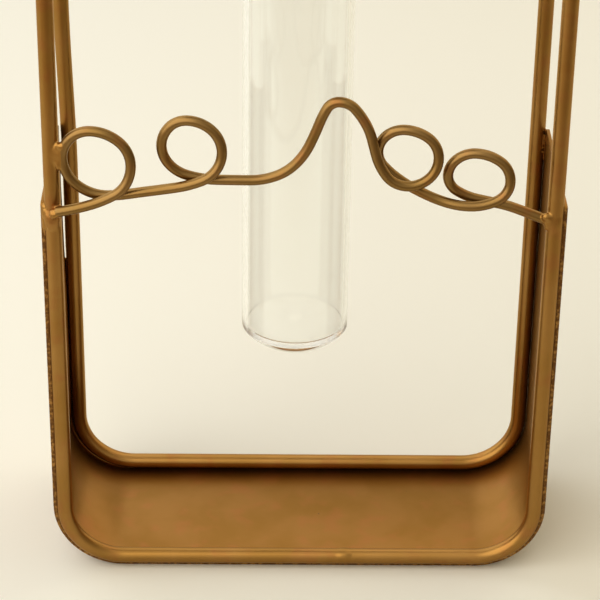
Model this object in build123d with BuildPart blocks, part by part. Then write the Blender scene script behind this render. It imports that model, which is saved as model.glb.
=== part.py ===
from build123d import *

import os
from dataclasses import dataclass
from math import acos, cos, radians, sin, sqrt

# Test tube vase: two bent-rod hoops in a sheet-metal cradle, a looped wire, and a hanging glass tube.
# Millimetres. X runs across the vase, Y from front to back, Z up from the table.

# Rod hoops
rod_diameter = 4.8
hoop_span = 145.2
hoop_height = 254.8
hoop_spacing = 53.9
corner_radius = 18.0
back_hoop_play = 0.6

# Sheet metal
sheet_thickness = 1.2
cradle_height = 126.7
sheet_corner_radius = 1.2
hole_clearance = 0.3
hole_rim_radius = 0.4

# Looped wire
wire_diameter = 3.0
loop_radius = 9.0
wire_rise = 18.0
loop_lean = 1.2
weld_bite = 0.25

# Glass tube
tube_diameter = 32.6
tube_length = 200.0
tube_wall = 1.5
tube_base_thickness = 1.6
tube_dome_depth = 8.0
tube_heel_radius = 1.2
tube_off_centre = -2.0
lip_flare_radius = 3.2
lip_flare_angle = 60.0
seat_gap = 0.05

# Weld beads
end_bead_radius = 2.0
end_bead_length = 6.2
corner_bead_radius = 1.7
corner_bead_length = 5.6
corner_bead_tilt = 15.0
loop_bead_radius = 1.8
loop_bead_length = 7.0
tack_radius = 0.9
tack_length = 8.0
butt_weld_rise = 0.35
butt_weld_width = 3.8
butt_weld_place = 12.8
bead_end_share = 0.9

# What follows from them
rod_radius = rod_diameter / 2
wire_radius = wire_diameter / 2
tube_radius = tube_diameter / 2
half_span = hoop_span / 2
front_y = -hoop_spacing / 2
back_y = hoop_spacing / 2
floor_top = sheet_thickness
bottom_bar_z = floor_top + rod_radius
top_bar_z = bottom_bar_z + hoop_height
plate_bottom = top_bar_z + rod_radius
plate_top = plate_bottom + sheet_thickness
straight_span = hoop_span - 2 * corner_radius
wall_x = half_span + rod_radius
bend_radius = corner_radius + rod_radius
tack_out = hoop_spacing / 2 + tack_radius / 2


@dataclass(frozen=True)
class Station:
    """One place on the wire: where it is, and which way the wire runs through it."""

    place: Vector
    heading: float


@dataclass(frozen=True)
class Loop:
    """One loop of the wire, as shares of the loop radius about its own centre."""

    centre_x: float
    rise_share: float
    width_share: float
    height_share: float
    entry_shares: tuple
    entry_heading: float
    exit_shares: tuple
    exit_heading: float
    depth_shares: tuple


def wire_y(depth_share):
    """Depth of the wire's centre, in wire diameters behind the line where it lies on the hoop's face."""
    return front_y - rod_radius - wire_radius + depth_share * wire_diameter


def wire_z(rise_share):
    """Height of the wire's centre, as a share of its rise above the cradle's edge."""
    return cradle_height + rise_share * wire_rise


def waypoint(across_share, rise_share, depth_share, heading):
    """A station between loops, across by a share of half the hoop's span."""
    place = Vector(across_share * half_span, wire_y(depth_share), wire_z(rise_share))
    return Station(place, heading)


def loop_stations(loop):
    """The wire comes in low, runs up the right, over the top, down the left and out behind itself."""
    width = loop.width_share * loop_radius
    height = loop.height_share * loop_radius
    offsets = (
        (loop.entry_shares[0] * loop_radius, loop.entry_shares[1] * loop_radius, loop.entry_heading),
        (width, 0, 90),
        (-loop_lean * loop.width_share, height, 180),
        (-width, loop_lean * loop.height_share, 270),
        (loop.exit_shares[0] * loop_radius, loop.exit_shares[1] * loop_radius, loop.exit_heading),
    )
    centre_z = wire_z(loop.rise_share)
    return [
        Station(Vector(loop.centre_x + across, wire_y(depth), centre_z + up), heading)
        for (across, up, heading), depth in zip(offsets, loop.depth_shares)
    ]


def wire_directions(stations):
    """Unit tangents: each heading in the front view, tilted by the slope in depth of its neighbours."""
    directions = []
    for index, station in enumerate(stations):
        before = stations[max(index - 1, 0)].place
        after = stations[min(index + 1, len(stations) - 1)].place
        slope = (after.Y - before.Y) / (after - before).length
        run = sqrt(1 - slope**2)
        turn = radians(station.heading)
        directions.append(Vector(run * cos(turn), slope, run * sin(turn)))
    return directions


def biarc_joint(start, leave, end, arrive):
    """Where two arcs meet that run from start to end and are tangent to leave and arrive."""
    chord = end - start
    along = chord.dot(leave + arrive)
    reach = chord.dot(chord) / (along + sqrt(along**2 + 2 * (1 - leave.dot(arrive)) * chord.dot(chord)))
    return (start + end + (leave - arrive) * reach) / 2


# The wire's four loops, left to right. The first one leans on the left upright.
first_loop_width_share = 1.09
first_loop_depth_shares = (-0.2, 0.07, 0.42, 0.8, 0.9)
upright_contact = rod_radius + wire_radius - weld_bite
first_loop_y = wire_y(first_loop_depth_shares[3])
first_loop_reach = sqrt(upright_contact**2 - (first_loop_y - front_y) ** 2)
loops = (
    Loop(
        centre_x=-half_span + first_loop_reach + first_loop_width_share * loop_radius,
        rise_share=0.778,
        width_share=first_loop_width_share,
        height_share=1.145,
        entry_shares=(0.54, -1.0),
        entry_heading=30,
        exit_shares=(0.34, -1.185),
        exit_heading=1,
        depth_shares=first_loop_depth_shares,
    ),
    Loop(
        centre_x=-0.4456 * half_span,
        rise_share=1.006,
        width_share=0.956,
        height_share=1.067,
        entry_shares=(0.33, -0.94),
        entry_heading=25,
        exit_shares=(-0.17, -0.92),
        exit_heading=-19,
        depth_shares=(-0.04, 0.25, 0.53, 0.83, 1.08),
    ),
    Loop(
        centre_x=0.4036 * half_span,
        rise_share=0.917,
        width_share=0.956,
        height_share=0.956,
        entry_shares=(0.0, -0.92),
        entry_heading=-2,
        exit_shares=(-0.33, -0.8),
        exit_heading=-38,
        depth_shares=(0.08, 0.4, 0.7, 1.13, 1.19),
    ),
    Loop(
        centre_x=0.6866 * half_span,
        rise_share=0.517,
        width_share=0.989,
        height_share=0.933,
        entry_shares=(-0.28, -0.85),
        entry_heading=0,
        exit_shares=(0.0, -0.772),
        exit_heading=-14,
        depth_shares=(0.27, 0.47, 0.83, 1.13, 1.4),
    ),
)
wire_stations = [
    waypoint(-0.982, -0.044, 0.0, 11),
    *loop_stations(loops[0]),
    waypoint(-0.613, 0.285, 0.7, 11),
    *loop_stations(loops[1]),
    waypoint(-0.22, 0.462, 1.05, 0),
    waypoint(-0.038, 0.766, 0.96, 48),
    waypoint(0.053, 1.49, 0.85, 71),
    waypoint(0.131, 1.864, 0.7, 0),
    waypoint(0.2326, 1.518, 0.35, -61),
    waypoint(0.273, 1.03, 0.1, -76),
    *loop_stations(loops[2]),
    waypoint(0.503, 0.196, 0.95, -22),
    *loop_stations(loops[3]),
    waypoint(0.84, -0.024, 1.33, -21),
    waypoint(0.966, -0.228, (rod_radius + wire_radius) / wire_diameter, -22),
]
wire_start = wire_stations[0].place
wire_end = wire_stations[-1].place

# Front hoop: a rod bent to a tall rounded rectangle
with BuildPart() as front_frame:
    with BuildLine(Plane.XZ.offset(-front_y)):
        hoop_path = FilletPolyline(
            (-half_span, bottom_bar_z), (half_span, bottom_bar_z),
            (half_span, top_bar_z), (-half_span, top_bar_z),
            radius=corner_radius, close=True,
        )
    with BuildSketch(Plane(origin=hoop_path @ 0, z_dir=hoop_path % 0)):
        Circle(rod_radius)
    sweep()
front_frame.part.label = "front_frame"

# Back hoop: bent a little narrow, and set against the cradle's right side
with BuildPart() as back_frame:
    with BuildLine(Plane.XZ.offset(-back_y)):
        back_path = FilletPolyline(
            (back_hoop_play - half_span, bottom_bar_z), (half_span, bottom_bar_z),
            (half_span, top_bar_z), (back_hoop_play - half_span, top_bar_z),
            radius=corner_radius, close=True,
        )
    with BuildSketch(Plane(origin=back_path @ 0, z_dir=back_path % 0)):
        Circle(rod_radius)
    sweep()
back_frame.part.label = "back_frame"

# Cradle: one strip of sheet, bent up outside both hoops
with BuildPart() as base_band:
    with BuildSketch(Plane.XZ.offset(-back_y)):
        with BuildLine():
            inner_line = FilletPolyline(
                (-wall_x, cradle_height), (-wall_x, floor_top),
                (wall_x, floor_top), (wall_x, cradle_height),
                radius=bend_radius,
            )
            outer_line = FilletPolyline(
                (-wall_x - sheet_thickness, cradle_height), (-wall_x - sheet_thickness, 0),
                (wall_x + sheet_thickness, 0), (wall_x + sheet_thickness, cradle_height),
                radius=bend_radius + sheet_thickness,
            )
            Line(inner_line @ 0, outer_line @ 0)
            Line(inner_line @ 1, outer_line @ 1)
        make_face()
    extrude(amount=hoop_spacing)
    fillet(base_band.edges().filter_by(Axis.X).group_by(Axis.Z)[-1], radius=sheet_corner_radius)
base_band.part.label = "base_band"

# Plate across the top, with the hole that the tube hangs in
with BuildPart() as top_plate:
    with BuildSketch(Plane.XY.offset(plate_bottom)):
        RectangleRounded(straight_span, hoop_spacing, sheet_corner_radius)
        with Locations((tube_off_centre, 0)):
            Circle(tube_radius + hole_clearance, mode=Mode.SUBTRACT)
    extrude(amount=sheet_thickness)
    hole_edge = top_plate.edges().filter_by(GeomType.CIRCLE).sort_by(SortBy.RADIUS)[-2:].sort_by(Axis.Z)[-1]
    fillet(hole_edge, radius=hole_rim_radius)
top_plate.part.label = "top_plate"

# Glass tube: shallow dome at the bottom, flared lip at the top, hung on the hole's edge
seat_angle = acos(1 - hole_clearance / lip_flare_radius)
flare_z = plate_top - lip_flare_radius * sin(seat_angle) + seat_gap
flare_turn = radians(lip_flare_angle)
flare_centre = tube_radius + lip_flare_radius
inner_flare_radius = lip_flare_radius + tube_wall
lip_outer = (
    flare_centre - lip_flare_radius * cos(flare_turn), flare_z + lip_flare_radius * sin(flare_turn)
)
lip_inner = (
    flare_centre - inner_flare_radius * cos(flare_turn), flare_z + inner_flare_radius * sin(flare_turn)
)
lip_top = (lip_outer[1] + lip_inner[1] + tube_wall) / 2
tube_bottom = lip_top - tube_length
heel_z = tube_bottom + tube_dome_depth
bore_radius = tube_radius - tube_wall
bore_heel_z = heel_z + tube_wall
bore_bottom = tube_bottom + tube_base_thickness
with BuildPart() as test_tube:
    with BuildSketch(Plane.XZ):
        with BuildLine():
            TangentArc((0, tube_bottom), (tube_radius, heel_z), tangent=(1, 0))
            Line((tube_radius, heel_z), (tube_radius, flare_z))
            outer_flare = TangentArc((tube_radius, flare_z), lip_outer, tangent=(0, 1))
            TangentArc(lip_outer, lip_inner, tangent=outer_flare % 1)
            TangentArc((bore_radius, flare_z), lip_inner, tangent=(0, 1))
            Line((bore_radius, flare_z), (bore_radius, bore_heel_z))
            TangentArc((0, bore_bottom), (bore_radius, bore_heel_z), tangent=(1, 0))
            Line((0, bore_bottom), (0, tube_bottom))
        tube_face = make_face()
        outer_heel = tube_face.vertices().sort_by_distance((tube_radius, heel_z))[0]
        inner_heel = tube_face.vertices().sort_by_distance((bore_radius, bore_heel_z))[0]
        fillet((outer_heel, inner_heel), radius=tube_heel_radius)
    revolve(axis=Axis.Z)
    add(test_tube.part.moved(Location((tube_off_centre, 0, 0))), mode=Mode.REPLACE)
test_tube.part.label = "test_tube"

# Looped wire: a chain of arcs through its stations
with BuildPart() as loop_wire:
    directions = wire_directions(wire_stations)
    with BuildLine() as wire_line:
        for index in range(len(wire_stations) - 1):
            start, end = wire_stations[index].place, wire_stations[index + 1].place
            joint = biarc_joint(start, directions[index], end, directions[index + 1])
            first_arc = TangentArc(start, joint, tangent=directions[index])
            TangentArc(joint, end, tangent=first_arc % 1)
    wire_path = wire_line.wire()
    with BuildSketch(Plane(origin=wire_path @ 0, z_dir=wire_path % 0)):
        Circle(wire_radius)
    sweep()
    add(front_frame.part, mode=Mode.SUBTRACT)
loop_wire.part.label = "loop_wire"

# Bead at the wire's left end: an upright lump on the front of the left upright, mostly below the wire
with BuildPart() as wire_weld_left:
    with Locations((-half_span, front_y - rod_radius, wire_start.Z - 2 * end_bead_length / 5)):
        Cylinder(end_bead_radius, end_bead_length)
    fillet(wire_weld_left.edges().filter_by(GeomType.CIRCLE), radius=bead_end_share * end_bead_radius)
    for neighbour in (front_frame, loop_wire):
        add(neighbour.part, mode=Mode.SUBTRACT)
wire_weld_left.part.label = "wire_weld_left"

# Bead where the first loop leans on the left upright
with BuildPart() as wire_weld_loop:
    bead_x = first_loop_reach - half_span - loop_bead_radius / 2
    bead_z = wire_z(loops[0].rise_share) + loop_bead_length / 2
    with Locations((bead_x, (front_y + first_loop_y) / 2, bead_z)):
        Cylinder(loop_bead_radius, loop_bead_length)
    fillet(wire_weld_loop.edges().filter_by(GeomType.CIRCLE), radius=bead_end_share * loop_bead_radius)
    for neighbour in (front_frame, loop_wire):
        add(neighbour.part, mode=Mode.SUBTRACT)
wire_weld_loop.part.label = "wire_weld_loop"

# Bead at the wire's right end: round on top, and thinning out down the inner side of the right upright
with BuildPart() as wire_weld_right:
    with Locations((wire_end.X, front_y - wire_radius / 2, wire_end.Z)):
        Cone(weld_bite, corner_bead_radius, corner_bead_length, rotation=(0, -corner_bead_tilt, 0))
    bead_rim = wire_weld_right.edges().filter_by(GeomType.CIRCLE).sort_by(Axis.Z)[-1]
    fillet(bead_rim, radius=corner_bead_radius / 2)
    for neighbour in (front_frame, loop_wire):
        add(neighbour.part, mode=Mode.SUBTRACT)
wire_weld_right.part.label = "wire_weld_right"

# Tacks up the front and back edges of the cradle's ends, each in the notch between sheet and upright
with BuildPart() as band_welds:
    with Locations((0, 0, cradle_height - tack_length / 2)):
        with GridLocations(2 * wall_x, 2 * tack_out, 2, 2):
            Cylinder(tack_radius, tack_length)
        fillet(band_welds.edges().filter_by(GeomType.CIRCLE), radius=bead_end_share * tack_radius)
        Box(3 * wall_x, hoop_spacing, 2 * tack_length, mode=Mode.SUBTRACT)
    for neighbour in (front_frame, back_frame, wire_weld_left):
        add(neighbour.part, mode=Mode.SUBTRACT)
band_welds.part.label = "band_welds"

# Tacks along the top plate's front and back edges, each in the notch between sheet and top bar
with BuildPart() as plate_welds:
    with Locations((0, 0, plate_bottom)):
        with GridLocations(straight_span / 2, 2 * tack_out, 2, 2):
            Cylinder(tack_radius, tack_length, rotation=(0, 90, 0))
        fillet(plate_welds.edges().filter_by(GeomType.CIRCLE), radius=bead_end_share * tack_radius)
        Box(hoop_span, hoop_spacing, 2 * tack_length, mode=Mode.SUBTRACT)
    for neighbour in (front_frame, back_frame):
        add(neighbour.part, mode=Mode.SUBTRACT)
plate_welds.part.label = "plate_welds"

# Butt weld that closes the front hoop: a low ring round its bottom bar, open where the sheet lies below
with BuildPart() as frame_butt_weld:
    with BuildSketch(Plane.XY.offset(bottom_bar_z)):
        with BuildLine():
            bar_back = front_y + rod_radius
            ring_arc = ThreePointArc(
                (butt_weld_place - butt_weld_width / 2, bar_back),
                (butt_weld_place, bar_back + butt_weld_rise),
                (butt_weld_place + butt_weld_width / 2, bar_back),
            )
            Line(ring_arc @ 1, ring_arc @ 0)
        make_face()
    revolve(axis=Axis((0, front_y, bottom_bar_z), (1, 0, 0)), revolution_arc=270)
frame_butt_weld.part.label = "frame_butt_weld"

pieces = (
    front_frame, back_frame, base_band, top_plate, test_tube, loop_wire,
    wire_weld_left, wire_weld_loop, wire_weld_right, band_welds, plate_welds, frame_butt_weld,
)
os.makedirs("parts", exist_ok=True)
for piece in pieces:
    export_step(piece.part, f"parts/{piece.part.label}.step")
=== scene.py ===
"""A test tube vase: two bent-rod hoops in a sheet cradle, a looped wire and a hanging glass tube."""

from __future__ import annotations

import logging
from dataclasses import dataclass, field
from enum import Enum
from math import asin, cos, pi, radians, sin, sqrt, tau

import bmesh
import bpy
from mathutils import Matrix, Vector, noise
from mathutils.bvhtree import BVHTree

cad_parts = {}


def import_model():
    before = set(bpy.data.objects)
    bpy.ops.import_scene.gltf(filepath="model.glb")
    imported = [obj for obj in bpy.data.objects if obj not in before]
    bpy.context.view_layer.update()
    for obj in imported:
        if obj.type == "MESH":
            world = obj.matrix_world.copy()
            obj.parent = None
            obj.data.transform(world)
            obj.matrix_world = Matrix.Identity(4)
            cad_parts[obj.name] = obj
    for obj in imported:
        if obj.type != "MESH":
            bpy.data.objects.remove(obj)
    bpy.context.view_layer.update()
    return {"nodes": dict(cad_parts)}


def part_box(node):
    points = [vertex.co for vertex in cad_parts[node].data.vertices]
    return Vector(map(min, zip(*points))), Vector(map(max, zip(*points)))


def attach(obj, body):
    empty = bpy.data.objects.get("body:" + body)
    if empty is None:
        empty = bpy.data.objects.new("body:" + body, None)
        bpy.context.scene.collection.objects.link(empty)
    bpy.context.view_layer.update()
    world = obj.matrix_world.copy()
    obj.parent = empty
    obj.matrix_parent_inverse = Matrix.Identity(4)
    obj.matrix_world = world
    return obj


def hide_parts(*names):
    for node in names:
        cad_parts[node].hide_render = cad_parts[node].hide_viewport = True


LOG = logging.getLogger("vase")
MM = 0.001
MERGE = 0.002 * MM
CAD_MERGE = 0.003 * MM
MOST_BOUNCES = 128
GLASS_BOUNCES = 100

Pair = tuple[float, float]
Triple = tuple[float, float, float]
Colour = tuple[float, float, float, float]


class Slot(Enum):
    """The record's material slots."""

    GOLD = "gold_paint"
    GLASS = "clear_glass"


class Body(Enum):
    """The bodies that the pieces ride on."""

    FRAME = "frame"
    TUBE = "tube"


class Sheet:
    """A node tree being drawn: every node but plain sums comes from its one method."""

    def __init__(self, tree: bpy.types.NodeTree) -> None:
        """Starts an empty tree.

        Args:
            tree: The node tree of a material or of the world.
        """
        self.tree = tree
        tree.nodes.clear()

    def node(self, kind: str, settings: dict | None = None, **inputs: object) -> Link:
        """Adds a node, sets it, and feeds its sockets.

        Args:
            kind: The node's type name.
            settings: Its own settings, such as an operation.
            **inputs: Values or links by socket name, with underscores for spaces, or i0, i1 by index.

        Returns:
            The node's first output in use.
        """
        made = self.tree.nodes.new(kind)
        for name, value in (settings or {}).items():
            setattr(made, name, value)
        for name, value in inputs.items():
            by_index = name[0] == "i" and name[1:].isdigit()
            socket = made.inputs[int(name[1:])] if by_index else made.inputs[name.replace("_", " ")]
            if isinstance(value, Link):
                self.tree.links.new(value.socket, socket)
            else:
                socket.default_value = value
        live = [out for out in made.outputs if out.enabled]
        return Link(self, live[0]) if live else Link(self, None)


class Link:
    """One output socket, which can be used in Python sums."""

    def __init__(self, sheet: Sheet, socket: bpy.types.NodeSocket | None) -> None:
        """Wraps a socket of a sheet's node."""
        self.sheet = sheet
        self.socket = socket

    def out(self, name: str) -> Link:
        """Another output of the same node, by name."""
        return Link(self.sheet, self.socket.node.outputs[name])

    def _sum(self, operation: str, first: object, second: object) -> Link:
        """A Math node on two values or links."""
        return self.sheet.node("ShaderNodeMath", {"operation": operation}, i0=first, i1=second)

    def __add__(self, other: object) -> Link:
        """self + other"""
        return self._sum("ADD", self, other)

    __radd__ = __add__

    def __sub__(self, other: object) -> Link:
        """self - other"""
        return self._sum("SUBTRACT", self, other)

    def __rsub__(self, other: object) -> Link:
        """other - self"""
        return self._sum("SUBTRACT", other, self)

    def __mul__(self, other: object) -> Link:
        """self * other"""
        return self._sum("MULTIPLY", self, other)

    __rmul__ = __mul__

    def ramp(self, low: float, high: float, start: float = 0.0, end: float = 1.0) -> Link:
        """Goes smoothly from one value to another.

        Args:
            low: The value of self at which it starts.
            high: The value of self at which it ends.
            start: The result up to there.
            end: The result from there on.

        Returns:
            The result.
        """
        return self.sheet.node(
            "ShaderNodeMapRange", {"interpolation_type": "SMOOTHSTEP"},
            i0=self, i1=low, i2=high, i3=start, i4=end,
        )

    def tint(self, low: object, high: object) -> Link:
        """Mixes two colours by self.

        Args:
            low: The colour where self is 0.
            high: The colour where self is 1.

        Returns:
            The mixed colour.
        """
        mix = self.sheet.node("ShaderNodeMix", {"data_type": "RGBA"}, i0=self, i6=low, i7=high)
        colours = [out for out in mix.socket.node.outputs if out.type == "RGBA" and out.enabled]
        return Link(self.sheet, colours[0])


def linear(red: int, green: int, blue: int) -> Colour:
    """Turns a screen colour of 0 to 255 into the linear one that shaders use.

    Args:
        red: The red part.
        green: The green part.
        blue: The blue part.

    Returns:
        The linear colour, opaque.
    """
    parts = []
    for part in (red, green, blue):
        share = part / 255
        parts.append(share / 12.92 if share <= 0.04045 else ((share + 0.055) / 1.055) ** 2.4)
    return (*parts, 1.0)


def new_material(name: str) -> tuple[bpy.types.Material, Sheet, Link]:
    """Starts a material.

    Args:
        name: Its name.

    Returns:
        The material, its sheet, and the place on the piece that is being shaded.
    """
    made = bpy.data.materials.new(name)
    made.use_nodes = True
    sheet = Sheet(made.node_tree)
    return made, sheet, sheet.node("ShaderNodeTexCoord").out("Object")


@dataclass(frozen=True)
class AntiqueGold:
    """Satin antique gold paint over steel: soft blotches, fine grain, and small dark chips."""

    name: str = "antique_gold"
    light: Colour = (0.330, 0.170, 0.043, 1.0)
    deep: Colour = (0.290, 0.147, 0.031, 1.0)
    red: Colour = (0.300, 0.108, 0.032, 1.0)
    chip: Colour = (0.05, 0.030, 0.012, 1.0)
    roughness: float = 0.32
    grain_roughness: float = 0.1
    chip_roughness: float = 0.3
    edge_tint: Colour = (0.97, 0.80, 0.58, 1.0)
    coat: float = 0.06
    coat_roughness: float = 0.16
    metallic: float = 0.92
    chip_dullness: float = 0.8
    blotch_per_m: float = 55.0
    blotch_span: Pair = (0.35, 0.65)
    warmth_per_m: float = 126.5
    warmth_span: Pair = (0.5, 0.72)
    warmth_share: float = 0.4
    grain_per_m: float = 2600.0
    grain_height: float = 0.05
    peel_per_m: float = 420.0
    peel_height: float = 0.6
    chip_per_m: float = 240.0
    chip_span: Pair = (0.735, 0.755)
    chip_depth: float = 0.5
    bump: float = 0.09
    bump_distance: float = 0.0002

    def material(self) -> bpy.types.Material:
        """Makes the paint.

        Returns:
            The material.
        """
        made, sheet, place = new_material(self.name)

        def cloud(per_m: float, detail: float, roughness: float = 0.5) -> Link:
            """A noise over the piece, at so many features a metre."""
            return sheet.node(
                "ShaderNodeTexNoise", Vector=place, Scale=per_m, Detail=detail, Roughness=roughness
            )

        blotch = cloud(self.blotch_per_m, 3.0).ramp(*self.blotch_span)
        warmth = cloud(self.warmth_per_m, 2.0).ramp(*self.warmth_span)
        grain = cloud(self.grain_per_m, 2.0)
        peel = cloud(self.peel_per_m, 2.0)
        chips = cloud(self.chip_per_m, 4.0, 0.6).ramp(*self.chip_span)
        colour = blotch.tint(self.deep, self.light)
        colour = (warmth * self.warmth_share).tint(colour, self.red)
        colour = chips.tint(colour, self.chip)
        height = grain * self.grain_height + peel * self.peel_height - chips * self.chip_depth
        bump = sheet.node("ShaderNodeBump", Strength=self.bump, Distance=self.bump_distance, Height=height)
        shader = sheet.node(
            "ShaderNodeBsdfPrincipled",
            Base_Color=colour,
            Metallic=self.metallic - chips * self.chip_dullness,
            Roughness=self.roughness + (grain - 0.5) * self.grain_roughness + chips * self.chip_roughness,
            Specular_Tint=self.edge_tint,
            Coat_Weight=self.coat,
            Coat_Roughness=self.coat_roughness,
            Normal=bump,
        )
        sheet.node("ShaderNodeOutputMaterial", Surface=shader)
        return made


@dataclass(frozen=True)
class CutEdge:
    """The cradle's sheared edge: dark, rough, and only partly reached by the paint."""

    name: str = "cut_edge"
    dark: Colour = (0.13, 0.052, 0.008, 1.0)
    gold: Colour = (0.36, 0.19, 0.05, 1.0)
    speck_per_m: float = 900.0
    paint_span: Pair = (0.42, 0.68)
    metallic: float = 0.7
    paint_metallic: float = 0.2
    roughness: float = 0.58
    paint_gloss: float = 0.15
    bump: float = 0.5
    bump_distance: float = 0.0002

    def material(self) -> bpy.types.Material:
        """Makes the edge's finish.

        Returns:
            The material.
        """
        made, sheet, place = new_material(self.name)
        specks = sheet.node("ShaderNodeTexNoise", Vector=place, Scale=self.speck_per_m, Detail=3.0)
        paint = specks.ramp(*self.paint_span)
        bump = sheet.node("ShaderNodeBump", Strength=self.bump, Distance=self.bump_distance, Height=specks)
        shader = sheet.node(
            "ShaderNodeBsdfPrincipled",
            Base_Color=paint.tint(self.dark, self.gold),
            Metallic=paint * self.paint_metallic + self.metallic,
            Roughness=self.roughness - paint * self.paint_gloss,
            Normal=bump,
        )
        sheet.node("ShaderNodeOutputMaterial", Surface=shader)
        return made


@dataclass(frozen=True)
class ClearGlass:
    """Clear glass, with the faint draw lines of tubing."""

    name: str = "tube_glass"
    tint: Colour = (0.985, 0.992, 0.985, 1.0)
    index: float = 1.47
    draw_lines: Triple = (160.0, 160.0, 0.7)
    bump: float = 0.06
    bump_distance: float = 0.0003

    def material(self) -> bpy.types.Material:
        """Makes the glass.

        Returns:
            The material.
        """
        made, sheet, place = new_material(self.name)
        drawn = sheet.node("ShaderNodeMapping", Vector=place, Scale=self.draw_lines)
        waves = sheet.node("ShaderNodeTexNoise", Vector=drawn, Scale=1.0, Detail=1.0)
        bump = sheet.node("ShaderNodeBump", Strength=self.bump, Distance=self.bump_distance, Height=waves)
        shader = sheet.node(
            "ShaderNodeBsdfPrincipled",
            Base_Color=self.tint,
            Roughness=0.0,
            IOR=self.index,
            Transmission_Weight=1.0,
            Normal=bump,
        )
        sheet.node("ShaderNodeOutputMaterial", Surface=shader)
        return made


@dataclass
class Finishes:
    """Every finish, made once. The wire's and the sheet's are darker copies of the gold paint: painted shade.
    """

    gold: bpy.types.Material = field(default_factory=lambda: AntiqueGold().material())
    # A darker, more olive copy of the gold paint for the wire: painted shade that tones its highlights down.
    wire: bpy.types.Material = field(default_factory=lambda: AntiqueGold(
        "antique_gold_wire_painted_shade", light=(0.243, 0.141, 0.046, 1.0), deep=(0.216, 0.123, 0.033, 1.0)
    ).material())
    # A darker copy of the gold paint for the cradle and the top plate: painted shade that holds down what the
    # up-facing sheet reflects.
    sheet: bpy.types.Material = field(default_factory=lambda: AntiqueGold(
        "antique_gold_sheet_painted_shade", light=(0.252, 0.118, 0.026, 1.0), deep=(0.220, 0.102, 0.017, 1.0)
    ).material())
    edge: bpy.types.Material = field(default_factory=lambda: CutEdge().material())
    glass: bpy.types.Material = field(default_factory=lambda: ClearGlass().material())


def to_object(mesh: bmesh.types.BMesh, name: str, finishes: list[bpy.types.Material]) -> bpy.types.Object:
    """Turns a finished bmesh into a smooth object at the origin.

    Args:
        mesh: The bmesh, which is freed.
        name: The piece's name.
        finishes: Its material slots, in order.

    Returns:
        The linked object.
    """
    data = bpy.data.meshes.new(name)
    mesh.to_mesh(data)
    mesh.free()
    for finish in finishes:
        data.materials.append(finish)
    for face in data.polygons:
        face.use_smooth = True
    made = bpy.data.objects.new(name, data)
    bpy.context.scene.collection.objects.link(made)
    return made


def hand_over(piece: bpy.types.Object, body: Body, slot: Slot, *nodes: str) -> None:
    """Says which nodes a piece stands for and what it rides on.

    Args:
        piece: The finished piece.
        body: The body it rides on.
        slot: The record's slot; not used.
        *nodes: The CAD nodes that it replaces, none for a piece of the looks alone.
    """
    if nodes:
        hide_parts(*nodes)
    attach(piece, body.value)
    stands_for = ", ".join(nodes) or "the looks alone"
    LOG.info("%s: %d faces on %s, for %s", piece.name, len(piece.data.polygons), body.value, stands_for)


def edges_among(verts: list[bmesh.types.BMVert]) -> list[bmesh.types.BMEdge]:
    """Finds the edges that join some vertices to each other, such as those round a ring.

    Args:
        verts: The vertices.

    Returns:
        The edges, each once.
    """
    inside = set(verts)
    found = (edge for vert in verts for edge in vert.link_edges if set(edge.verts) <= inside)
    return list(dict.fromkeys(found))


def extrude(
    mesh: bmesh.types.BMesh, verts: list[bmesh.types.BMVert], way: Vector
) -> list[bmesh.types.BMVert]:
    """Extrudes the edges among some vertices.

    Args:
        mesh: The bmesh that they are in.
        verts: The vertices.
        way: Which way and how far.

    Returns:
        The new vertices.
    """
    made = bmesh.ops.extrude_edge_only(mesh, edges=edges_among(verts))
    grown = [item for item in made["geom"] if isinstance(item, bmesh.types.BMVert)]
    bmesh.ops.translate(mesh, verts=grown, vec=way)
    return grown


def arc(centre: Pair, radius: float, start: float, end: float, steps: int) -> list[Pair]:
    """Walks along an arc.

    Args:
        centre: The arc's centre.
        radius: Its radius.
        start: The angle of its first point.
        end: The angle of its last point.
        steps: How many steps it takes.

    Returns:
        Its points, with both ends.
    """
    turns = [start + (end - start) * index / steps for index in range(steps + 1)]
    return [(centre[0] + radius * cos(turn), centre[1] + radius * sin(turn)) for turn in turns]


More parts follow.
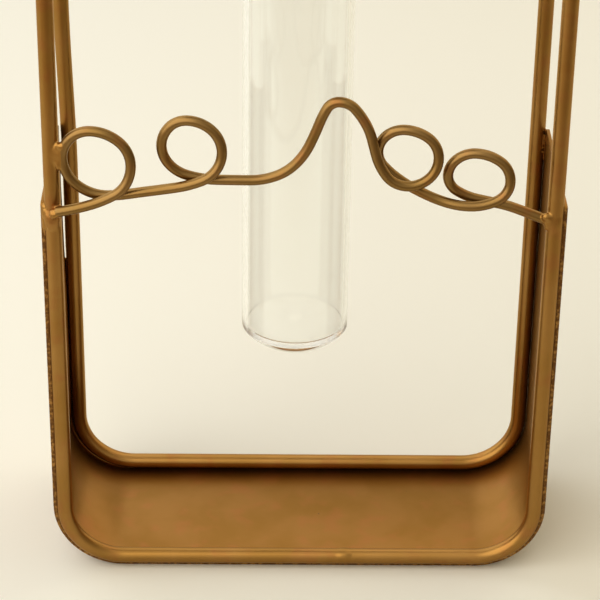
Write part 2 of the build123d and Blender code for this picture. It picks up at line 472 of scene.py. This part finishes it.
class RodBender:
    """Bends a round rod by extruding and spinning the ring at its end."""

    def __init__(self, place: Vector, heading: Vector, radius: float, sides: int) -> None:
        """Starts a rod with an open ring.

        Args:
            place: The centre of the first ring.
            heading: The way that the rod sets off.
            radius: The rod's radius.
            sides: How many sides the ring has.
        """
        self.mesh = bmesh.new()
        self.place = place.copy()
        self.heading = heading.normalized()
        turn = self.heading.to_track_quat("Z", "Y").to_matrix().to_4x4()
        made = bmesh.ops.create_circle(
            self.mesh, segments=sides, radius=radius, matrix=Matrix.Translation(place) @ turn
        )
        self.first = list(made["verts"])
        self.ring = self.first

    def run(self, length: float, steps: int = 1) -> None:
        """Carries on straight.

        Args:
            length: How far.
            steps: In how many steps.
        """
        for _ in range(steps):
            self.ring = extrude(self.mesh, self.ring, self.heading * (length / steps))
        self.place += self.heading * length

    def bend(self, centre: Vector, axis: Vector, angle: float, step: float) -> None:
        """Bends round a centre.

        Args:
            centre: The bend's centre.
            axis: The axis it turns about.
            angle: How far it turns, by the right-hand rule.
            step: The largest turn from ring to ring.
        """
        steps = max(1, round(angle / step))
        made = bmesh.ops.spin(
            self.mesh, geom=[*self.ring, *edges_among(self.ring)], cent=centre, axis=axis,
            angle=angle, steps=steps, use_duplicate=False,
        )
        self.ring = [item for item in made["geom_last"] if isinstance(item, bmesh.types.BMVert)]
        turn = Matrix.Rotation(angle, 3, axis)
        self.heading = (turn @ self.heading).normalized()
        self.place = centre + turn @ (self.place - centre)

    def close_end(self, radius: float, rounding: float, steps: int = 4) -> None:
        """Rounds the end off and closes it.

        Args:
            radius: The rod's radius.
            rounding: The radius of the rounding.
            steps: How many rings it takes.
        """
        before_size, before_out = radius, 0.0
        for size, out in arc((radius - rounding, 0.0), rounding, 0.0, pi / 2, steps)[1:]:
            self.run(out - before_out)
            share = max(size, MERGE) / before_size
            bmesh.ops.scale(
                self.mesh, verts=self.ring, vec=(share, share, share), space=Matrix.Translation(-self.place)
            )
            before_size, before_out = max(size, MERGE), out
        bmesh.ops.contextual_create(self.mesh, geom=edges_among(self.ring))

    def restart(self, place: Vector, heading: Vector) -> None:
        """Goes back to the first ring, to work on the rod's other end.

        Args:
            place: The first ring's centre.
            heading: The way that the rod sets off from it now.
        """
        self.ring = self.first
        self.place = place.copy()
        self.heading = heading.normalized()

    def finished(self) -> bmesh.types.BMesh:
        """Merges the seam and turns every face outwards.

        Returns:
            The rod's bmesh.
        """
        bmesh.ops.remove_doubles(self.mesh, verts=self.mesh.verts, dist=MERGE)
        bmesh.ops.recalc_face_normals(self.mesh, faces=self.mesh.faces)
        return self.mesh


@dataclass(frozen=True)
class Lean:
    """How far a hoop's left upright leans out between two heights, in millimetres."""

    amount: float
    rise: Pair = (112, 170)
    fall: Pair = (186, 238)

    def at(self, height: float) -> float:
        """The lean at a height, both in metres."""
        return self.amount * MM * (self._step(height, *self.rise) - self._step(height, *self.fall))

    @staticmethod
    def _step(height: float, start: float, end: float) -> float:
        """Goes smoothly from 0 to 1 between two heights."""
        share = min(1, max(0, (height / MM - start) / (end - start)))
        return share * share * (3 - 2 * share)


@dataclass
class RodHoop:
    """One round rod, bent to a tall rounded rectangle and closed by a weld in its bottom bar."""

    node: str
    lean: Lean = Lean(0.0)
    start_share: float = 0.5
    upright_steps: int = 60
    corner_radius: float = 18 * MM
    sides: int = 40
    corner_steps: int = 20

    def build(self, finishes: Finishes) -> bpy.types.Object:
        """Bends the hoop.

        Args:
            finishes: The finishes to dress it in.

        Returns:
            The hoop.
        """
        low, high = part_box(self.node)
        radius = (high.y - low.y) / 2
        depth = (high.y + low.y) / 2
        left, right = low.x + radius, high.x - radius
        bottom, top = low.z + radius, high.z - radius
        corner = self.corner_radius
        start = left + (right - left) * self.start_share
        rod = RodBender(Vector((start, depth, bottom)), Vector((1, 0, 0)), radius, self.sides)
        straight_across = right - left - 2 * corner
        straight_up = top - bottom - 2 * corner
        runs = (
            (right - corner - start, 1), (straight_up, 1),
            (straight_across, 1), (straight_up, self.upright_steps),
        )
        toward_depth = Vector((0, -1, 0))
        for length, steps in runs:
            rod.run(length, steps)
            centre = rod.place + toward_depth.cross(rod.heading) * corner
            rod.bend(centre, toward_depth, pi / 2, pi / 2 / self.corner_steps)
        rod.run(start - left - corner)
        mesh = rod.finished()
        for vert in mesh.verts:
            if vert.co.x < left + radius + MERGE:
                vert.co.x -= self.lean.at(vert.co.z)
        hoop = to_object(mesh, f"{self.node}_rod", [finishes.gold])
        hand_over(hoop, Body.FRAME, Slot.GOLD, self.node)
        return hoop


@dataclass
class Cradle:
    """A strip of sheet steel bent up at both ends, outside the hoops."""

    node: str = "base_band"
    thickness: float = 1.2 * MM
    corner_radius: float = 21.6 * MM
    sheet_corner_radius: float = 1.2 * MM
    edge_rounding: float = 0.16 * MM
    corner_steps: int = 20
    sheet_corner_segments: int = 6
    edge_segments: int = 3
    sharp_over: float = 60.0

    def build(self, finishes: Finishes) -> bpy.types.Object:
        """Bends the strip.

        Args:
            finishes: The finishes to dress it in.

        Returns:
            The cradle.
        """
        low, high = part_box(self.node)
        mesh = bmesh.new()
        ends = [mesh.verts.new((low.x, y, high.z)) for y in (low.y, high.y)]
        edge = mesh.edges.new(ends)
        corner = self.corner_radius
        down = high.z - low.z - corner
        across = high.x - low.x - 2 * corner
        edge = self._run(mesh, edge, Vector((0, 0, -down)))
        edge = self._bend(mesh, edge, Vector((low.x + corner, 0, low.z + corner)))
        edge = self._run(mesh, edge, Vector((across, 0, 0)))
        edge = self._bend(mesh, edge, Vector((high.x - corner, 0, low.z + corner)))
        self._run(mesh, edge, Vector((0, 0, down)))
        bmesh.ops.remove_doubles(mesh, verts=mesh.verts, dist=MERGE)
        self._thicken(mesh)
        tips = [
            edge for edge in mesh.edges
            if all(vert.co.z > high.z - MERGE for vert in edge.verts)
            and abs(edge.verts[0].co.x - edge.verts[1].co.x) > self.thickness / 2
        ]
        bmesh.ops.bevel(
            mesh, geom=tips, offset=self.sheet_corner_radius, segments=self.sheet_corner_segments,
            affect="EDGES", profile=0.5, material=-1, clamp_overlap=True,
        )
        rims = [edge for edge in mesh.edges if edge.calc_face_angle(0) > radians(self.sharp_over)]
        bmesh.ops.bevel(
            mesh, geom=rims, offset=self.edge_rounding, segments=self.edge_segments,
            affect="EDGES", profile=0.5, material=-1,
        )
        for face in mesh.faces:
            middle = face.calc_center_median()
            on_side = min(abs(middle.y - low.y), abs(middle.y - high.y)) < self.edge_rounding
            face.material_index = 1 if on_side else 0
        strip = to_object(mesh, f"{self.node}_strip", [finishes.sheet, finishes.edge])
        hand_over(strip, Body.FRAME, Slot.GOLD, self.node)
        return strip

    @staticmethod
    def _run(mesh: bmesh.types.BMesh, edge: bmesh.types.BMEdge, way: Vector) -> bmesh.types.BMEdge:
        """Extrudes the strip's end edge straight, and returns the new one."""
        return edges_among(extrude(mesh, list(edge.verts), way))[0]

    def _bend(self, mesh: bmesh.types.BMesh, edge: bmesh.types.BMEdge, centre: Vector) -> bmesh.types.BMEdge:
        """Spins the strip's end edge a quarter turn.

        Args:
            mesh: The strip.
            edge: Its end edge.
            centre: The bend's centre.

        Returns:
            The new end edge.
        """
        made = bmesh.ops.spin(
            mesh, geom=[edge, *edge.verts], cent=centre, axis=(0, -1, 0), angle=pi / 2,
            steps=self.corner_steps, use_duplicate=False,
        )
        return next(item for item in made["geom_last"] if isinstance(item, bmesh.types.BMEdge))

    def _thicken(self, mesh: bmesh.types.BMesh) -> None:
        """Gives the strip its thickness, inwards from its outer face.

        Args:
            mesh: The strip.
        """
        bmesh.ops.recalc_face_normals(mesh, faces=mesh.faces)
        floor_face = min(mesh.faces, key=lambda face: face.calc_center_median().z)
        if floor_face.normal.z > 0:
            bmesh.ops.reverse_faces(mesh, faces=mesh.faces)
        bmesh.ops.solidify(mesh, geom=mesh.faces[:], thickness=self.thickness)
        bmesh.ops.recalc_face_normals(mesh, faces=mesh.faces)


@dataclass
class GlassTube:
    """The hanging tube: a shallow dome below, a flared lip above."""

    node: str = "test_tube"
    wall: float = 1.5 * MM
    base_thickness: float = 1.6 * MM
    dome_depth: float = 7.7 * MM
    heel_radius: float = 1.2 * MM
    flare_radius: float = 3.2 * MM
    flare_angle: float = 60.0
    turns: int = 128
    dome_steps: int = 32
    heel_steps: int = 40
    flare_steps: int = 10
    rim_steps: int = 12

    def profile(self, radius: float, bottom: float, top: float) -> list[Pair]:
        """Works out the wall's closed section, from the axis up the outside and down the inside.

        Args:
            radius: The tube's outer radius below the lip.
            bottom: The height of its lowest point.
            top: The height of its lip.

        Returns:
            Points of radius and height.
        """
        flare = radians(self.flare_angle)
        rim_in, rim_up = self._rim_offset()
        flare_x = radius + self.flare_radius
        flare_z = top - self.wall / 2 - rim_up
        heel_z = bottom + self.dome_depth
        outside = self._dome(radius, bottom, heel_z)
        inside = self._dome(radius - self.wall, bottom + self.base_thickness, heel_z + self.wall)
        for side, reach in ((outside, self.flare_radius), (inside, self.flare_radius + self.wall)):
            side += arc((flare_x, flare_z), reach, pi, pi - flare, self.flare_steps)
        rim_centre = (flare_x - rim_in, flare_z + rim_up)
        rim = arc(rim_centre, self.wall / 2, -flare, pi - flare, self.rim_steps)[1:-1]
        return outside + rim + inside[::-1]

    def _rim_offset(self) -> Pair:
        """Works out how far in from the flare's centre the rim's centre lies, and how far up.

        Returns:
            Both distances.
        """
        flare = radians(self.flare_angle)
        reach = self.flare_radius + self.wall / 2
        return reach * cos(flare), reach * sin(flare)

    def _dome(self, radius: float, low: float, heel: float) -> list[Pair]:
        """Works out a round bottom that meets a straight wall in a rounded heel.

        Args:
            radius: The wall's radius.
            low: The height of the dome's lowest point.
            heel: The height at which the dome would meet the wall, without its rounding.

        Returns:
            Points of radius and height, from the axis to the wall.
        """
        depth = heel - low
        sphere = (radius**2 + depth**2) / (2 * depth)
        sphere_z = low + sphere
        turn_in = radius - self.heel_radius
        reach = sphere - self.heel_radius
        meet = asin(turn_in / reach) - pi / 2
        dome = arc((0.0, sphere_z), sphere, -pi / 2, meet, self.dome_steps)
        heel_centre = (turn_in, sphere_z - sqrt(reach**2 - turn_in**2))
        return dome + arc(heel_centre, self.heel_radius, meet, 0.0, self.heel_steps)[1:]

    def build(self, finishes: Finishes) -> bpy.types.Object:
        """Spins the section into the tube.

        Args:
            finishes: The finishes to dress it in.

        Returns:
            The tube.
        """
        low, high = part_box(self.node)
        lip_radius = (high.x - low.x) / 2
        axis_x = (low.x + high.x) / 2
        radius = lip_radius - self.wall / 2 + self._rim_offset()[0] - self.flare_radius
        mesh = bmesh.new()
        section = self.profile(radius, low.z, high.z)
        verts = [mesh.verts.new((axis_x + max(out, 0.0), 0, up)) for out, up in section]
        edges = [mesh.edges.new(pair) for pair in zip(verts, verts[1:])]
        bmesh.ops.spin(
            mesh, geom=[*verts, *edges], cent=(axis_x, 0, 0), axis=(0, 0, 1), angle=tau,
            steps=self.turns, use_merge=True, use_duplicate=False,
        )
        bmesh.ops.remove_doubles(mesh, verts=mesh.verts, dist=MERGE)
        bmesh.ops.recalc_face_normals(mesh, faces=mesh.faces)
        tube = to_object(mesh, "hanging_tube", [finishes.glass])
        hand_over(tube, Body.TUBE, Slot.GLASS, self.node)
        return tube


@dataclass
class CarriedNode:
    """A CAD piece whose own mesh is shown, merged and smoothed in a copy."""

    node: str
    finish: bpy.types.Material
    smooth_under: float = 40.0

    def build(self, nodes: dict[str, bpy.types.Object]) -> bpy.types.Object:
        """Copies the node's mesh, merges it and shades it smooth.

        Args:
            nodes: The frame's nodes.

        Returns:
            The piece.
        """
        mesh = bmesh.new()
        mesh.from_mesh(nodes[self.node].data)
        bmesh.ops.remove_doubles(mesh, verts=mesh.verts, dist=CAD_MERGE)
        for edge in mesh.edges:
            edge.smooth = edge.calc_face_angle(0) < radians(self.smooth_under)
        piece = to_object(mesh, f"{self.node}_piece", [self.finish])
        hand_over(piece, Body.FRAME, Slot.GOLD, self.node)
        return piece


@dataclass(frozen=True)
class Lump:
    """One lump of weld metal, an ellipsoid in millimetres, leaned in the front view by degrees."""

    centre: Triple
    radii: Triple
    lean: float = 0.0
    subdivisions: int = 3

    def mesh(self) -> bmesh.types.BMesh:
        """Makes the lump.

        Returns:
            The lump's bmesh.
        """
        made = bmesh.new()
        place = Matrix.Translation(Vector(self.centre) * MM) @ Matrix.Rotation(radians(self.lean), 4, "Y")
        size = Matrix.Diagonal((*(Vector(self.radii) * MM), 1))
        bmesh.ops.create_icosphere(made, subdivisions=self.subdivisions, radius=1, matrix=place @ size)
        return made


@dataclass(frozen=True)
class WeldSpot:
    """A box in millimetres, in which the neighbours, the lumps and perhaps the CAD's bead flow together."""

    low: Triple
    high: Triple
    lumps: tuple[Lump, ...] = ()
    own_bead: bool = True


@dataclass
class FlowedWeld:
    """Weld metal as one smooth skin over pieces of its neighbours, which dips under them at its ends.

    A vertex further off the neighbours than proud flows twice, and one as far off as ripple_rise ripples
    fully. Within fade of its box's sides the union's reach shrinks, down to the share least_reach. Within
    touching of a part its normal is the way out, and a way whose square is under lost_way isn't followed.
    """

    node: str
    neighbours: tuple[str, ...]
    spots: tuple[WeldSpot, ...]
    voxel: float = 0.15 * MM
    inset: float = 0.02 * MM
    reach: float = 0.8 * MM
    fade: float = 1.6 * MM
    draft_passes: int = 3
    passes: int = 8
    proud: float = 0.04 * MM
    ripple: float = 0.05 * MM
    ripple_rise: float = 0.3 * MM
    ripple_per_m: float = 900.0
    least_reach: float = 0.01
    touching: float = 1e-9
    lost_way: float = 0.05

    def build(self, finishes: Finishes, nodes: dict[str, bpy.types.Object]) -> bpy.types.Object:
        """Melts each spot's pieces together.

        Args:
            finishes: The finishes to dress the weld in.
            nodes: The frame's nodes.

        Returns:
            The weld.
        """
        whole = bmesh.new()
        for spot in self.spots:
            plain = [self._cut(nodes[name].data, spot) for name in self.neighbours]
            plain = [part for part in plain if part.faces]
            beads = [lump.mesh() for lump in spot.lumps]
            if spot.own_bead:
                beads.append(self._cut(nodes[self.node].data, spot))
            self._melt(whole, spot, plain, beads)
        weld = to_object(whole, f"{self.node}_flow", [finishes.gold])
        hand_over(weld, Body.FRAME, Slot.GOLD, self.node)
        return weld

    def _cut(self, source: bpy.types.Mesh, spot: WeldSpot) -> bmesh.types.BMesh:
        """Cuts a closed piece of a node's mesh out of a spot's box, a little under size.

        Args:
            source: The node's mesh.
            spot: The spot.

        Returns:
            The piece, which is empty where the node misses the box.
        """
        mesh = bmesh.new()
        mesh.from_mesh(source)
        bmesh.ops.remove_doubles(mesh, verts=mesh.verts, dist=CAD_MERGE)
        for axis in range(3):
            for corner, sign in ((spot.low, -1), (spot.high, 1)):
                outward = Vector((0, 0, 0))
                outward[axis] = sign
                made = bmesh.ops.bisect_plane(
                    mesh, geom=[*mesh.verts, *mesh.edges, *mesh.faces], plane_co=Vector(corner) * MM,
                    plane_no=outward, clear_outer=True,
                )
                rim = [item for item in made["geom_cut"] if isinstance(item, bmesh.types.BMEdge)]
                if rim:
                    bmesh.ops.edgeloop_fill(mesh, edges=rim)
        bmesh.ops.recalc_face_normals(mesh, faces=mesh.faces)
        for vert, normal in [(vert, vert.normal.copy()) for vert in mesh.verts]:
            vert.co -= normal * self.inset
        return mesh

    def _melt(
        self, whole: bmesh.types.BMesh, spot: WeldSpot,
        plain: list[bmesh.types.BMesh], beads: list[bmesh.types.BMesh],
    ) -> None:
        """Joins a spot's parts to one skin, lets them flow together, and adds the skin to the whole.

        Args:
            whole: The weld so far.
            spot: The spot.
            plain: Pieces of its neighbours, which are freed.
            beads: Its lumps and bead, which are freed.
        """
        parts = [*plain, *beads]
        trees = [BVHTree.FromBMesh(part) for part in parts]
        joined = bmesh.new()
        for part in parts:
            data = bpy.data.meshes.new("part")
            part.to_mesh(data)
            part.free()
            joined.from_mesh(data)
            bpy.data.meshes.remove(data)
        draft = to_object(joined, "draft", [])
        remesh = draft.modifiers.new("melt", "REMESH")
        remesh.mode = "VOXEL"
        remesh.voxel_size = self.voxel
        melted = bpy.data.meshes.new_from_object(draft.evaluated_get(bpy.context.evaluated_depsgraph_get()))
        skin = bmesh.new()
        skin.from_mesh(melted)
        self._smooth(skin, self.draft_passes)
        lifts = {vert: self._flow(vert, spot, trees, len(plain)) for vert in skin.verts}
        self._smooth(skin, self.draft_passes)
        for vert, lift in lifts.items():
            if lift > self.proud:
                self._flow(vert, spot, trees, len(plain))
        self._smooth(skin, self.passes)
        for vert, lift in lifts.items():
            share = min(max(lift / self.ripple_rise, 0.0), 1.0)
            vert.co += vert.normal * noise.noise(vert.co * self.ripple_per_m) * self.ripple * share
        skin.to_mesh(melted)
        skin.free()
        whole.from_mesh(melted)
        data = draft.data
        bpy.data.objects.remove(draft)
        bpy.data.meshes.remove(data)
        bpy.data.meshes.remove(melted)

    @staticmethod
    def _smooth(skin: bmesh.types.BMesh, passes: int) -> None:
        """Smooths a skin.

        Args:
            skin: The skin.
            passes: How many times.
        """
        for _ in range(passes):
            bmesh.ops.smooth_vert(
                skin, verts=skin.verts, factor=0.5, use_axis_x=True, use_axis_y=True, use_axis_z=True
            )

    def _flow(self, vert: bmesh.types.BMVert, spot: WeldSpot, trees: list[BVHTree], plain: int) -> float:
        """Moves a vertex onto the smooth union of the parts.

        Args:
            vert: The vertex.
            spot: The spot, towards whose sides the flow fades.
            trees: The parts' trees, the plain neighbours' first.
            plain: How many of them are plain neighbours.

        Returns:
            How far the vertex stood off the plain neighbours.
        """
        room = min(
            min(place - low * MM, high * MM - place) for place, low, high in zip(vert.co, spot.low, spot.high)
        )
        reach = self.reach * min(max(room / self.fade, self.least_reach), 1.0)
        lift = gap = self.fade
        way = vert.normal
        for index, tree in enumerate(trees):
            near, normal, _, far = tree.find_nearest(vert.co)
            out = (vert.co - near) / far if far > self.touching else normal
            if out.dot(normal) < 0:
                out, far = -out, -far
            if index < plain:
                lift = min(lift, far)
            share = min(max(0.5 + 0.5 * (far - gap) / reach, 0.0), 1.0) if index else 0.0
            gap = far * (1 - share) + gap * share - reach * share * (1 - share)
            way = out * (1 - share) + way * share
        if way.length_squared > self.lost_way:
            vert.co -= way * (gap / way.length_squared)
        return lift


@dataclass(frozen=True)
class Welds:
    """Every weld on the vase. The tacks' places are in millimetres."""

    tack_x: Pair = (-27.3, 27.3)
    tack_y: tuple[Pair, Pair] = ((-30, -25.5), (25.5, 30))
    tack_z: Pair = (258, 262.5)
    tack_half_width: float = 6

    def build(self, finishes: Finishes, nodes: dict[str, bpy.types.Object]) -> None:
        """Lays the welds.

        Args:
            finishes: The finishes to dress them in.
            nodes: The frame's nodes.
        """
        corners = (
            WeldSpot((-77, -30, 116), (-70, -25, 127.5)),
            WeldSpot((-77, 27, 116), (-70, 30, 127.5), own_bead=False),
            WeldSpot((70, 25, 116), (77, 30, 127.5), own_bead=False),
            WeldSpot((70, -30, 116), (75.3, -25, 126.4), own_bead=False),
        )
        half_width = self.tack_half_width
        bottom, top = self.tack_z
        tacks = tuple(
            WeldSpot((x - half_width, front, bottom), (x + half_width, back, top))
            for x in self.tack_x for front, back in self.tack_y
        )
        welds = (
            FlowedWeld("wire_weld_loop", ("front_frame", "loop_wire"), (
                WeldSpot((-75.6, -32, 136), (-66.0, -23.5, 151), (
                    Lump((-70.5, -28.5, 143.2), (1.9, 1.2, 3.8)),
                    Lump((-69.7, -29.2, 146.1), (0.8, 0.8, 0.8)),
                    Lump((-70.5, -28.9, 140.0), (0.6, 0.9, 1.6)),
                ), own_bead=False),
            )),
            FlowedWeld("wire_weld_left", ("front_frame", "loop_wire"), (
                WeldSpot((-76, -34, 115.5), (-67.0, -23.5, 130.5), (
                    Lump((-72.1, -31.0, 125.3), (1.35, 1.3, 1.5)),
                    Lump((-72.9, -28.6, 122.2), (2.2, 1.3, 3.3)),
                    Lump((-74.8, -27.7, 124.0), (1.1, 1.1, 2.2)),
                    Lump((-71.4, -28.7, 126.3), (1.9, 0.6, 0.6), -10),
                ), own_bead=False),
            )),
            FlowedWeld("wire_weld_right", ("front_frame", "loop_wire"), (
                WeldSpot((65, -32, 114), (75.8, -23.0, 130), (
                    Lump((69.9, -28.5, 124.3), (1.3, 1.0, 1.3)),
                    Lump((70.8, -28.3, 122.6), (1.2, 1.0, 2.8), 16),
                    Lump((72.5, -28.2, 121.8), (2.0, 1.0, 3.0), 18),
                ), own_bead=False),
            )),
            FlowedWeld("band_welds", ("front_frame", "back_frame", "base_band"), corners),
            FlowedWeld("plate_welds", ("front_frame", "back_frame", "top_plate"), tacks),
            FlowedWeld("frame_butt_weld", ("front_frame",), (
                WeldSpot((8, -30.5, 0.9), (18, -23.5, 7), (
                    Lump((14.0, -27.1, 4.0), (3.2, 2.25, 2.02)),
                ), own_bead=False),
            )),
        )
        for weld in welds:
            weld.build(finishes, nodes)


@dataclass(frozen=True)
class PaintRun:
    """Paint pooled in the crease between a rod and the cradle's wall. Its sizes are in millimetres.

    Each swell is a height and the run's radius there. The depth stretches the run from front to back.
    """

    name: str
    crease: Pair
    depth: float
    swells: tuple[Pair, ...]
    sides: int = 20

    def build(self, finishes: Finishes) -> bpy.types.Object:
        """Draws the run upwards from ring to ring.

        Args:
            finishes: The finishes to dress it in.

        Returns:
            The run.
        """
        mesh = bmesh.new()
        height, size = self.swells[0]
        place = Vector((*self.crease, height)) * MM
        made = bmesh.ops.create_circle(
            mesh, cap_ends=True, segments=self.sides, radius=size * MM, matrix=Matrix.Translation(place)
        )
        ring = made["verts"]
        for up, swell in self.swells[1:]:
            ring = extrude(mesh, ring, Vector((0, 0, (up - height) * MM)))
            place.z = up * MM
            share = swell / size
            bmesh.ops.scale(mesh, verts=ring, vec=(share, share, 1), space=Matrix.Translation(-place))
            height, size = up, swell
        bmesh.ops.contextual_create(mesh, geom=edges_among(ring))
        stretch = Matrix.Diagonal((1, self.depth, 1, 1))
        bmesh.ops.transform(mesh, matrix=stretch, verts=mesh.verts, space=Matrix.Translation(-place))
        bmesh.ops.recalc_face_normals(mesh, faces=mesh.faces)
        run = to_object(mesh, self.name, [finishes.gold])
        hand_over(run, Body.FRAME, Slot.GOLD)
        return run


@dataclass(frozen=True)
class CornerRun:
    """Paint pooled along a bottom corner, between the hoop and the cradle, in millimetres and degrees."""

    name: str
    centre: Triple
    reach: float = 20.25
    span: float = 82.0
    rise: float = 58.0
    radius: float = 0.52
    rounding_share: float = 0.9
    stretch: float = 1.5
    bend_step: float = 3.0
    sides: int = 16

    def build(self, finishes: Finishes) -> bpy.types.Object:
        """Bends the run from the cradle's floor up its wall, and rounds its ends.

        Args:
            finishes: The finishes to dress it in.

        Returns:
            The run.
        """
        centre = Vector(self.centre) * MM
        turn = Matrix.Rotation(radians(90 - self.span), 3, "Y")
        start = centre + turn @ Vector((0, 0, -self.reach)) * MM
        heading = turn @ Vector((-1, 0, 0))
        radius = self.radius * MM
        rod = RodBender(start, heading, radius, self.sides)
        rod.bend(centre, Vector((0, 1, 0)), radians(self.span), radians(self.bend_step))
        rod.run(self.rise * MM)
        rod.close_end(radius, radius * self.rounding_share)
        rod.restart(start, -heading)
        rod.close_end(radius, radius * self.rounding_share)
        mesh = rod.finished()
        bmesh.ops.transform(
            mesh, matrix=Matrix.Diagonal((1, self.stretch, 1, 1)), verts=mesh.verts,
            space=Matrix.Translation(-centre),
        )
        run = to_object(mesh, self.name, [finishes.gold])
        hand_over(run, Body.FRAME, Slot.GOLD)
        return run


@dataclass(frozen=True)
class SoftLamp:
    """One soft lamp, aimed at the vase's middle."""

    name: str
    place: Triple
    size: Pair
    power: float
    colour: Triple = (1.0, 0.93, 0.80)


@dataclass
class Studio:
    """A pale floor that turns tan in front as painted shade for the metal to reflect, a pale room, dimmer on
    the right, and soft lamps.
    """

    floor_size: float = 6.0
    floor_colour: Colour = linear(249, 251, 248)
    # The tan in front is painted shade for the metal to reflect.
    front_shade_colour: Colour = (0.50, 0.40, 0.29, 1.0)
    floor_front: float = -0.24
    floor_blur: float = 0.11
    room_light: Colour = linear(250, 243, 227)
    room_dim: Colour = (0.30, 0.24, 0.14, 1.0)
    dim_side: Triple = (1.0, 0.0, 0.0)
    dim_from: float = 0.05
    ambient: float = 0.20
    ambient_colour: Colour = (1.0, 0.75, 0.31, 1.0)
    aim: Triple = (0.0, 0.0, 0.12)
    lamps: tuple[SoftLamp, ...] = (
        SoftLamp("window_back_left", (-0.38, 0.42, 0.50), (1.0, 1.0), 2.15, (0.985, 0.995, 1.0)),
        SoftLamp("window_far_left", (-0.85, 0.10, 0.75), (1.4, 1.4), 3.25, (0.985, 0.995, 1.0)),
        SoftLamp("panel_front_left", (-0.45, -0.50, 0.50), (1.0, 1.0), 5.0),
        SoftLamp("panel_back_right", (0.50, 0.35, 0.50), (1.0, 1.0), 2.7, (1.0, 0.89, 0.70)),
        SoftLamp("panel_top", (0.0, -0.05, 1.10), (0.9, 0.7), 1.35, (1.0, 0.96, 0.88)),
    )

    def build(self) -> None:
        """Lays the floor, tones the room and hangs the lamps."""
        self._lay_floor()
        self._tone_room()
        for lamp in self.lamps:
            self._hang(lamp)

    def _lay_floor(self) -> None:
        """Lays the pale floor that the vase stands on, which turns tan in front as painted shade for the
        metal to reflect.
        """
        mesh = bmesh.new()
        bmesh.ops.create_grid(mesh, x_segments=1, y_segments=1, size=self.floor_size / 2)
        made, sheet, place = new_material("pale_floor")
        depth = sheet.node("ShaderNodeSeparateXYZ", Vector=place).out("Y")
        # Towards the front the floor turns tan: painted shade, which the rods and bars show as dark middles.
        pale = depth.ramp(self.floor_front - self.floor_blur, self.floor_front + self.floor_blur)
        shader = sheet.node("ShaderNodeBsdfDiffuse", Color=pale.tint(self.front_shade_colour, self.floor_colour))
        sheet.node("ShaderNodeOutputMaterial", Surface=shader)
        floor = to_object(mesh, "floor", [made])

    def _tone_room(self) -> None:
        """Makes the world a pale room to the eye, in metal and through glass, and a weak warm fill light."""
        world = bpy.data.worlds.new("soft_room")
        bpy.context.scene.world = world
        world.use_nodes = True
        sheet = Sheet(world.node_tree)
        way = sheet.node("ShaderNodeTexCoord").out("Generated")
        side = sheet.node("ShaderNodeVectorMath", {"operation": "DOT_PRODUCT"}, i0=way, i1=self.dim_side)
        ray = sheet.node("ShaderNodeLightPath")
        dimness = side.out("Value").ramp(self.dim_from, 1.0) * (1.0 - ray.out("Is Transmission Ray"))
        tone = dimness.tint(self.room_light, self.room_dim)
        seen = ray.out("Is Camera Ray") + ray.out("Is Glossy Ray") + ray.out("Is Transmission Ray")
        strength = seen.ramp(0.0, 1.0, self.ambient, 1.0)
        colour = seen.ramp(0.0, 1.0).tint(self.ambient_colour, tone)
        shader = sheet.node("ShaderNodeBackground", Color=colour, Strength=strength)
        sheet.node("ShaderNodeOutputWorld", Surface=shader)

    def _hang(self, lamp: SoftLamp) -> None:
        """Hangs one lamp, which glass doesn't show.

        Args:
            lamp: The lamp.
        """
        data = bpy.data.lights.new(lamp.name, "AREA")
        data.shape = "RECTANGLE"
        data.size, data.size_y = lamp.size
        data.energy = lamp.power
        data.color = lamp.colour
        made = bpy.data.objects.new(lamp.name, data)
        bpy.context.scene.collection.objects.link(made)
        made.location = lamp.place
        made.visible_transmission = False
        made.rotation_euler = (Vector(self.aim) - Vector(lamp.place)).to_track_quat("-Z", "Y").to_euler()


@dataclass(frozen=True)
class PhotoCamera:
    """The camera of the photograph, placed from the vase's own edges."""

    place: Triple = (-11.68 * MM, -645.9 * MM, 441.92 * MM)
    pitch: float = 0.5103
    yaw: float = 0.0174
    roll: float = 0.0155
    lens: float = 144.34
    sensor: float = 36.0

    def build(self) -> None:
        """Sets up the scene's camera."""
        ahead = Vector((
            sin(self.yaw) * cos(self.pitch), cos(self.yaw) * cos(self.pitch), -sin(self.pitch)
        ))
        level = Vector((cos(self.yaw), -sin(self.yaw), 0))
        above = level.cross(ahead)
        right = cos(self.roll) * level + sin(self.roll) * above
        up = cos(self.roll) * above - sin(self.roll) * level
        data = bpy.data.cameras.new("photo_camera")
        data.lens = self.lens
        data.sensor_width = self.sensor
        camera = bpy.data.objects.new("photo_camera", data)
        turn = Matrix((right, up, -ahead)).transposed().to_4x4()
        camera.matrix_world = Matrix.Translation(self.place) @ turn
        bpy.context.scene.collection.objects.link(camera)
        bpy.context.scene.camera = camera


def main() -> None:
    """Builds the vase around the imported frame."""
    logging.basicConfig(level=logging.INFO, format="%(name)s: %(message)s")
    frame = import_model()
    scene = bpy.context.scene
    scene.view_settings.view_transform = "Standard"
    scene.cycles.max_bounces = MOST_BOUNCES
    scene.cycles.glossy_bounces = GLASS_BOUNCES
    scene.cycles.transmission_bounces = GLASS_BOUNCES
    finishes = Finishes()
    PhotoCamera().build()
    Studio().build()
    RodHoop("front_frame").build(finishes)
    RodHoop("back_frame", Lean(1.05)).build(finishes)
    Cradle().build(finishes)
    GlassTube().build(finishes)
    CarriedNode("loop_wire", finishes.wire).build(frame["nodes"])
    CarriedNode("top_plate", finishes.sheet).build(frame["nodes"])
    Welds().build(finishes, frame["nodes"])
    PaintRun(
        "left_crease_run", (-75.05, 25.4), 2.2,
        ((18, 0.2), (24, 0.7), (45, 0.8), (66, 0.76), (76, 0.6), (84, 0.4), (100, 0.25), (112, 0.1)),
    ).build(finishes)
    CornerRun("left_corner_run", (-54.6, 27.1, 21.5)).build(finishes)


if __name__ == "__main__":
    main()
